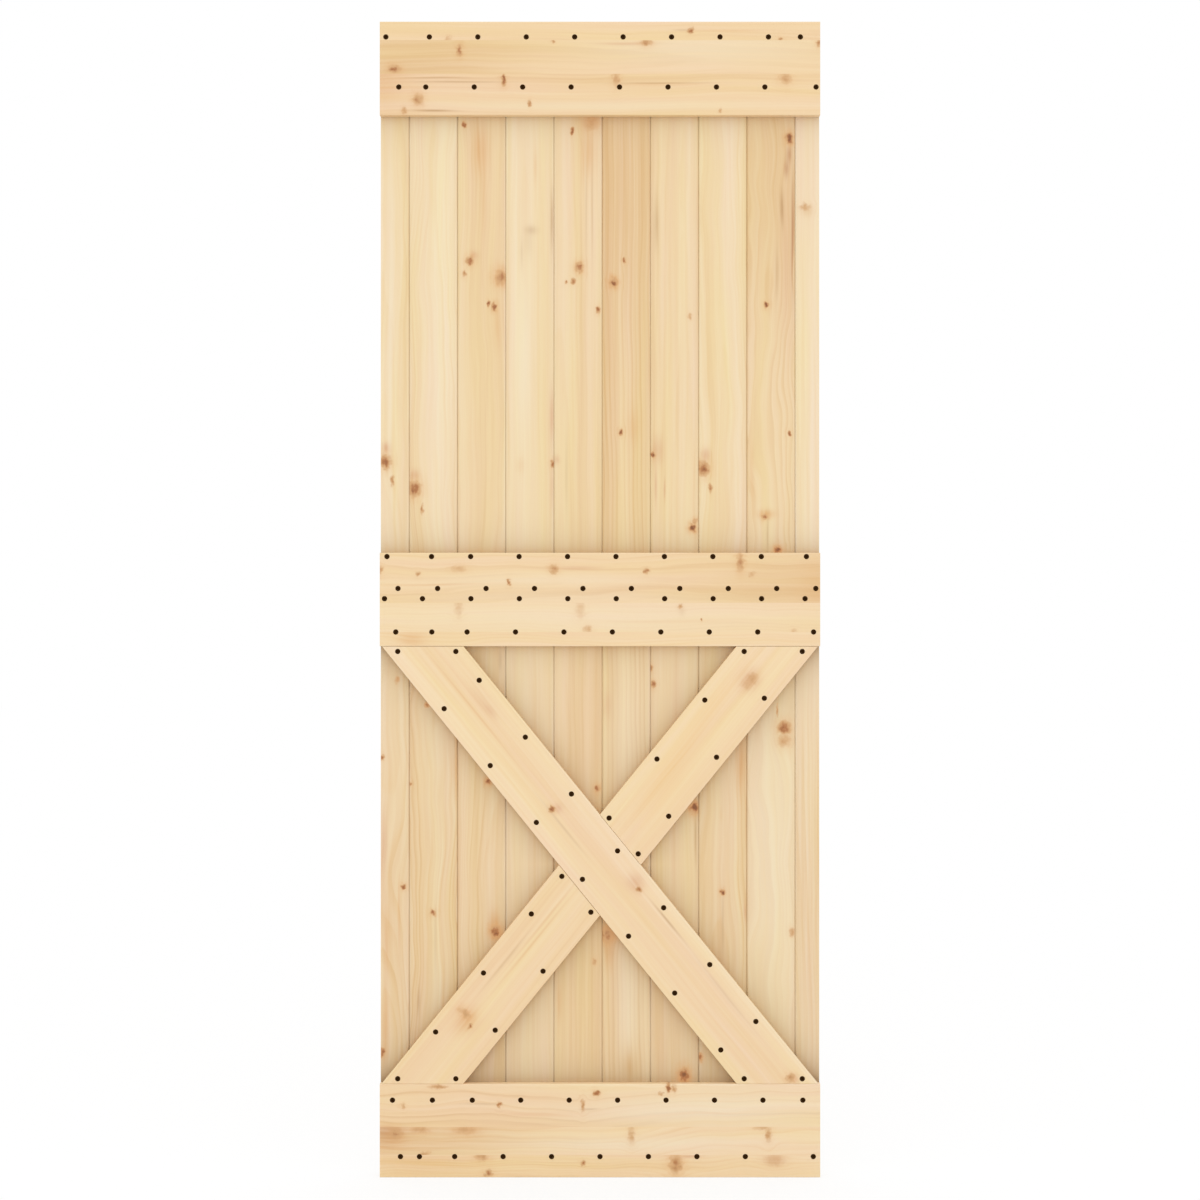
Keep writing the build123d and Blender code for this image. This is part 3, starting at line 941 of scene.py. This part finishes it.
def seat_centres(name):
    """Middles of the screw seats in a batten, from the corners of their flat floors."""
    floors = []
    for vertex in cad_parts[name].data.vertices:
        if abs(vertex.co.y - SEAT_DEPTH) > SEAT_FLATNESS:
            continue
        spot = (round(vertex.co.x, SPOT_DIGITS), round(vertex.co.z, SPOT_DIGITS))
        floor = next((f for f in floors if math.dist(f[0], spot) < SEAT_REACH), None)
        if floor is None:
            floors.append([spot])
        elif spot not in floor:
            floor.append(spot)
    return [tuple(sum(axis) / len(floor) for axis in zip(*floor)) for floor in floors]


def screw_steel():
    """Dark brown-black coated steel, scuffed paler in specks on the face of its head."""
    made = bpy.data.materials.new("screw_steel_coat")
    made.use_nodes = True
    tree = made.node_tree
    shader = tree.nodes["Principled BSDF"]
    place = node(tree, "ShaderNodeTexCoord").outputs["Object"]
    patch = noise(tree, place, COAT_PATCH)
    grit = noise(tree, place, COAT_GRIT, FINE_DETAIL)
    colour = blend(tree, patch, COAT_DARK, COAT_BROWN)
    depth = node(tree, "ShaderNodeSeparateXYZ", Vector=place).outputs[1]
    high = ramp(tree, depth, HEAD_RECESS + RIM_BEVEL, HEAD_RECESS)
    scuff = sums(tree, "MULTIPLY", high, ramp(tree, grit, *SCUFF_GRIT))
    colour = blend(tree, sums(tree, "MULTIPLY", scuff, SCUFF_SHARE), colour, COAT_SCUFFED)
    tree.links.new(colour, shader.inputs["Base Color"])
    tree.links.new(swing(tree, grit, GRIT_ROUGH, COAT_ROUGH), shader.inputs["Roughness"])
    shader.inputs["Specular IOR Level"].default_value = COAT_SHINE
    shader.inputs["Specular Tint"].default_value = COAT_SHEEN
    bump = node(tree, "ShaderNodeBump", Height=grit, Strength=GRIT_RELIEF, Distance=GRIT_DEPTH)
    tree.links.new(bump.outputs[0], shader.inputs["Normal"])
    return made


def drive_screws():
    """Put a screw in every seat, one joined piece of screws for each batten."""
    master = model_screw()
    master.data.materials.append(screw_steel())
    for name in RAILS + BRACES:
        deselect()
        for x, z in seat_centres(name):
            copy = master.copy()
            copy.data = master.data.copy()
            bpy.context.collection.objects.link(copy)
            copy.location = (x, 0.0, z)
            copy.rotation_euler = (0.0, rng.uniform(0, math.pi), 0.0)
            copy.select_set(True)
            bpy.context.view_layer.objects.active = copy
        bpy.ops.object.transform_apply(location=True, rotation=True)
        bpy.ops.object.join()
        piece = bpy.context.object
        piece.name = name + "_screws"
        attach(piece, "root")
    bpy.data.objects.remove(master)


drive_screws()


def pale_floor():
    """Plain pale floor, white to the camera apart from the leaf's soft shadow."""
    made = bpy.data.materials.new("pale_floor")
    made.use_nodes = True
    tree = made.node_tree
    tree.nodes.remove(tree.nodes["Principled BSDF"])
    matt = node(tree, "ShaderNodeBsdfDiffuse", Color=FLOOR_GREY).outputs[0]
    white_matt = node(tree, "ShaderNodeBsdfDiffuse", Color=WHITE).outputs[0]
    white = node(tree, "ShaderNodeEmission", Color=WHITE, Strength=1.0).outputs[0]
    light = node(tree, "ShaderNodeLightPath").outputs
    seen = sums(tree, "MAXIMUM", light["Is Camera Ray"], light["Is Glossy Ray"])
    seen = sums(tree, "MAXIMUM", seen, light["Is Transmission Ray"])
    surface = mix_shaders(tree, seen, matt, mix_shaders(tree, FLOOR_WHITE, white_matt, white))
    tree.links.new(surface, tree.nodes["Material Output"].inputs["Surface"])
    return made


def lay_floor():
    """Wide floor under the leaf, as part of the stage."""
    deselect()
    bpy.ops.mesh.primitive_plane_add(size=FLOOR_SIZE, location=(0, 0, LEAF_BOTTOM))
    floor = bpy.context.object
    floor.name = "floor"
    floor.data.materials.append(pale_floor())
    floor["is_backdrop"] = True


def light_studio():
    """Even white surroundings and one soft lamp behind the camera."""
    sky = bpy.data.worlds.new("studio")
    sky.use_nodes = True
    sky.node_tree.nodes["Background"].inputs["Color"].default_value = WHITE
    sky.node_tree.nodes["Background"].inputs["Strength"].default_value = 1.0
    bpy.context.scene.world = sky
    lamp_place = Vector((0.0, -LAMP_DISTANCE, LEAF_MIDDLE + LAMP_RISE))
    lamp_way = Vector((0.0, 0.0, LEAF_MIDDLE)) - lamp_place
    bpy.ops.object.light_add(
        type="AREA", location=lamp_place, rotation=lamp_way.to_track_quat("-Z", "Y").to_euler(),
    )
    lamp = bpy.context.object
    lamp.name = "soft_front_lamp"
    lamp.data.size = LAMP_SIZE
    lamp.data.energy = LAMP_POWER


def set_camera():
    """Camera about level with the leaf's middle, square to its front."""
    bpy.ops.object.camera_add(
        location=(0, -CAMERA_DISTANCE, LEAF_MIDDLE - CAMERA_DROP), rotation=(math.pi / 2, 0, 0),
    )
    camera = bpy.context.object
    camera.data.sensor_width = SENSOR
    camera.data.lens = SENSOR * CAMERA_DISTANCE / VIEW_HEIGHT
    bpy.context.scene.camera = camera
    bpy.context.scene.view_settings.view_transform = "Standard"


lay_floor()
light_studio()
set_camera()

boxes = {"cad": cad_box, "visual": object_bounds()}
boxes = {label: [list(map(float, corner)) for corner in box] for label, box in boxes.items()}
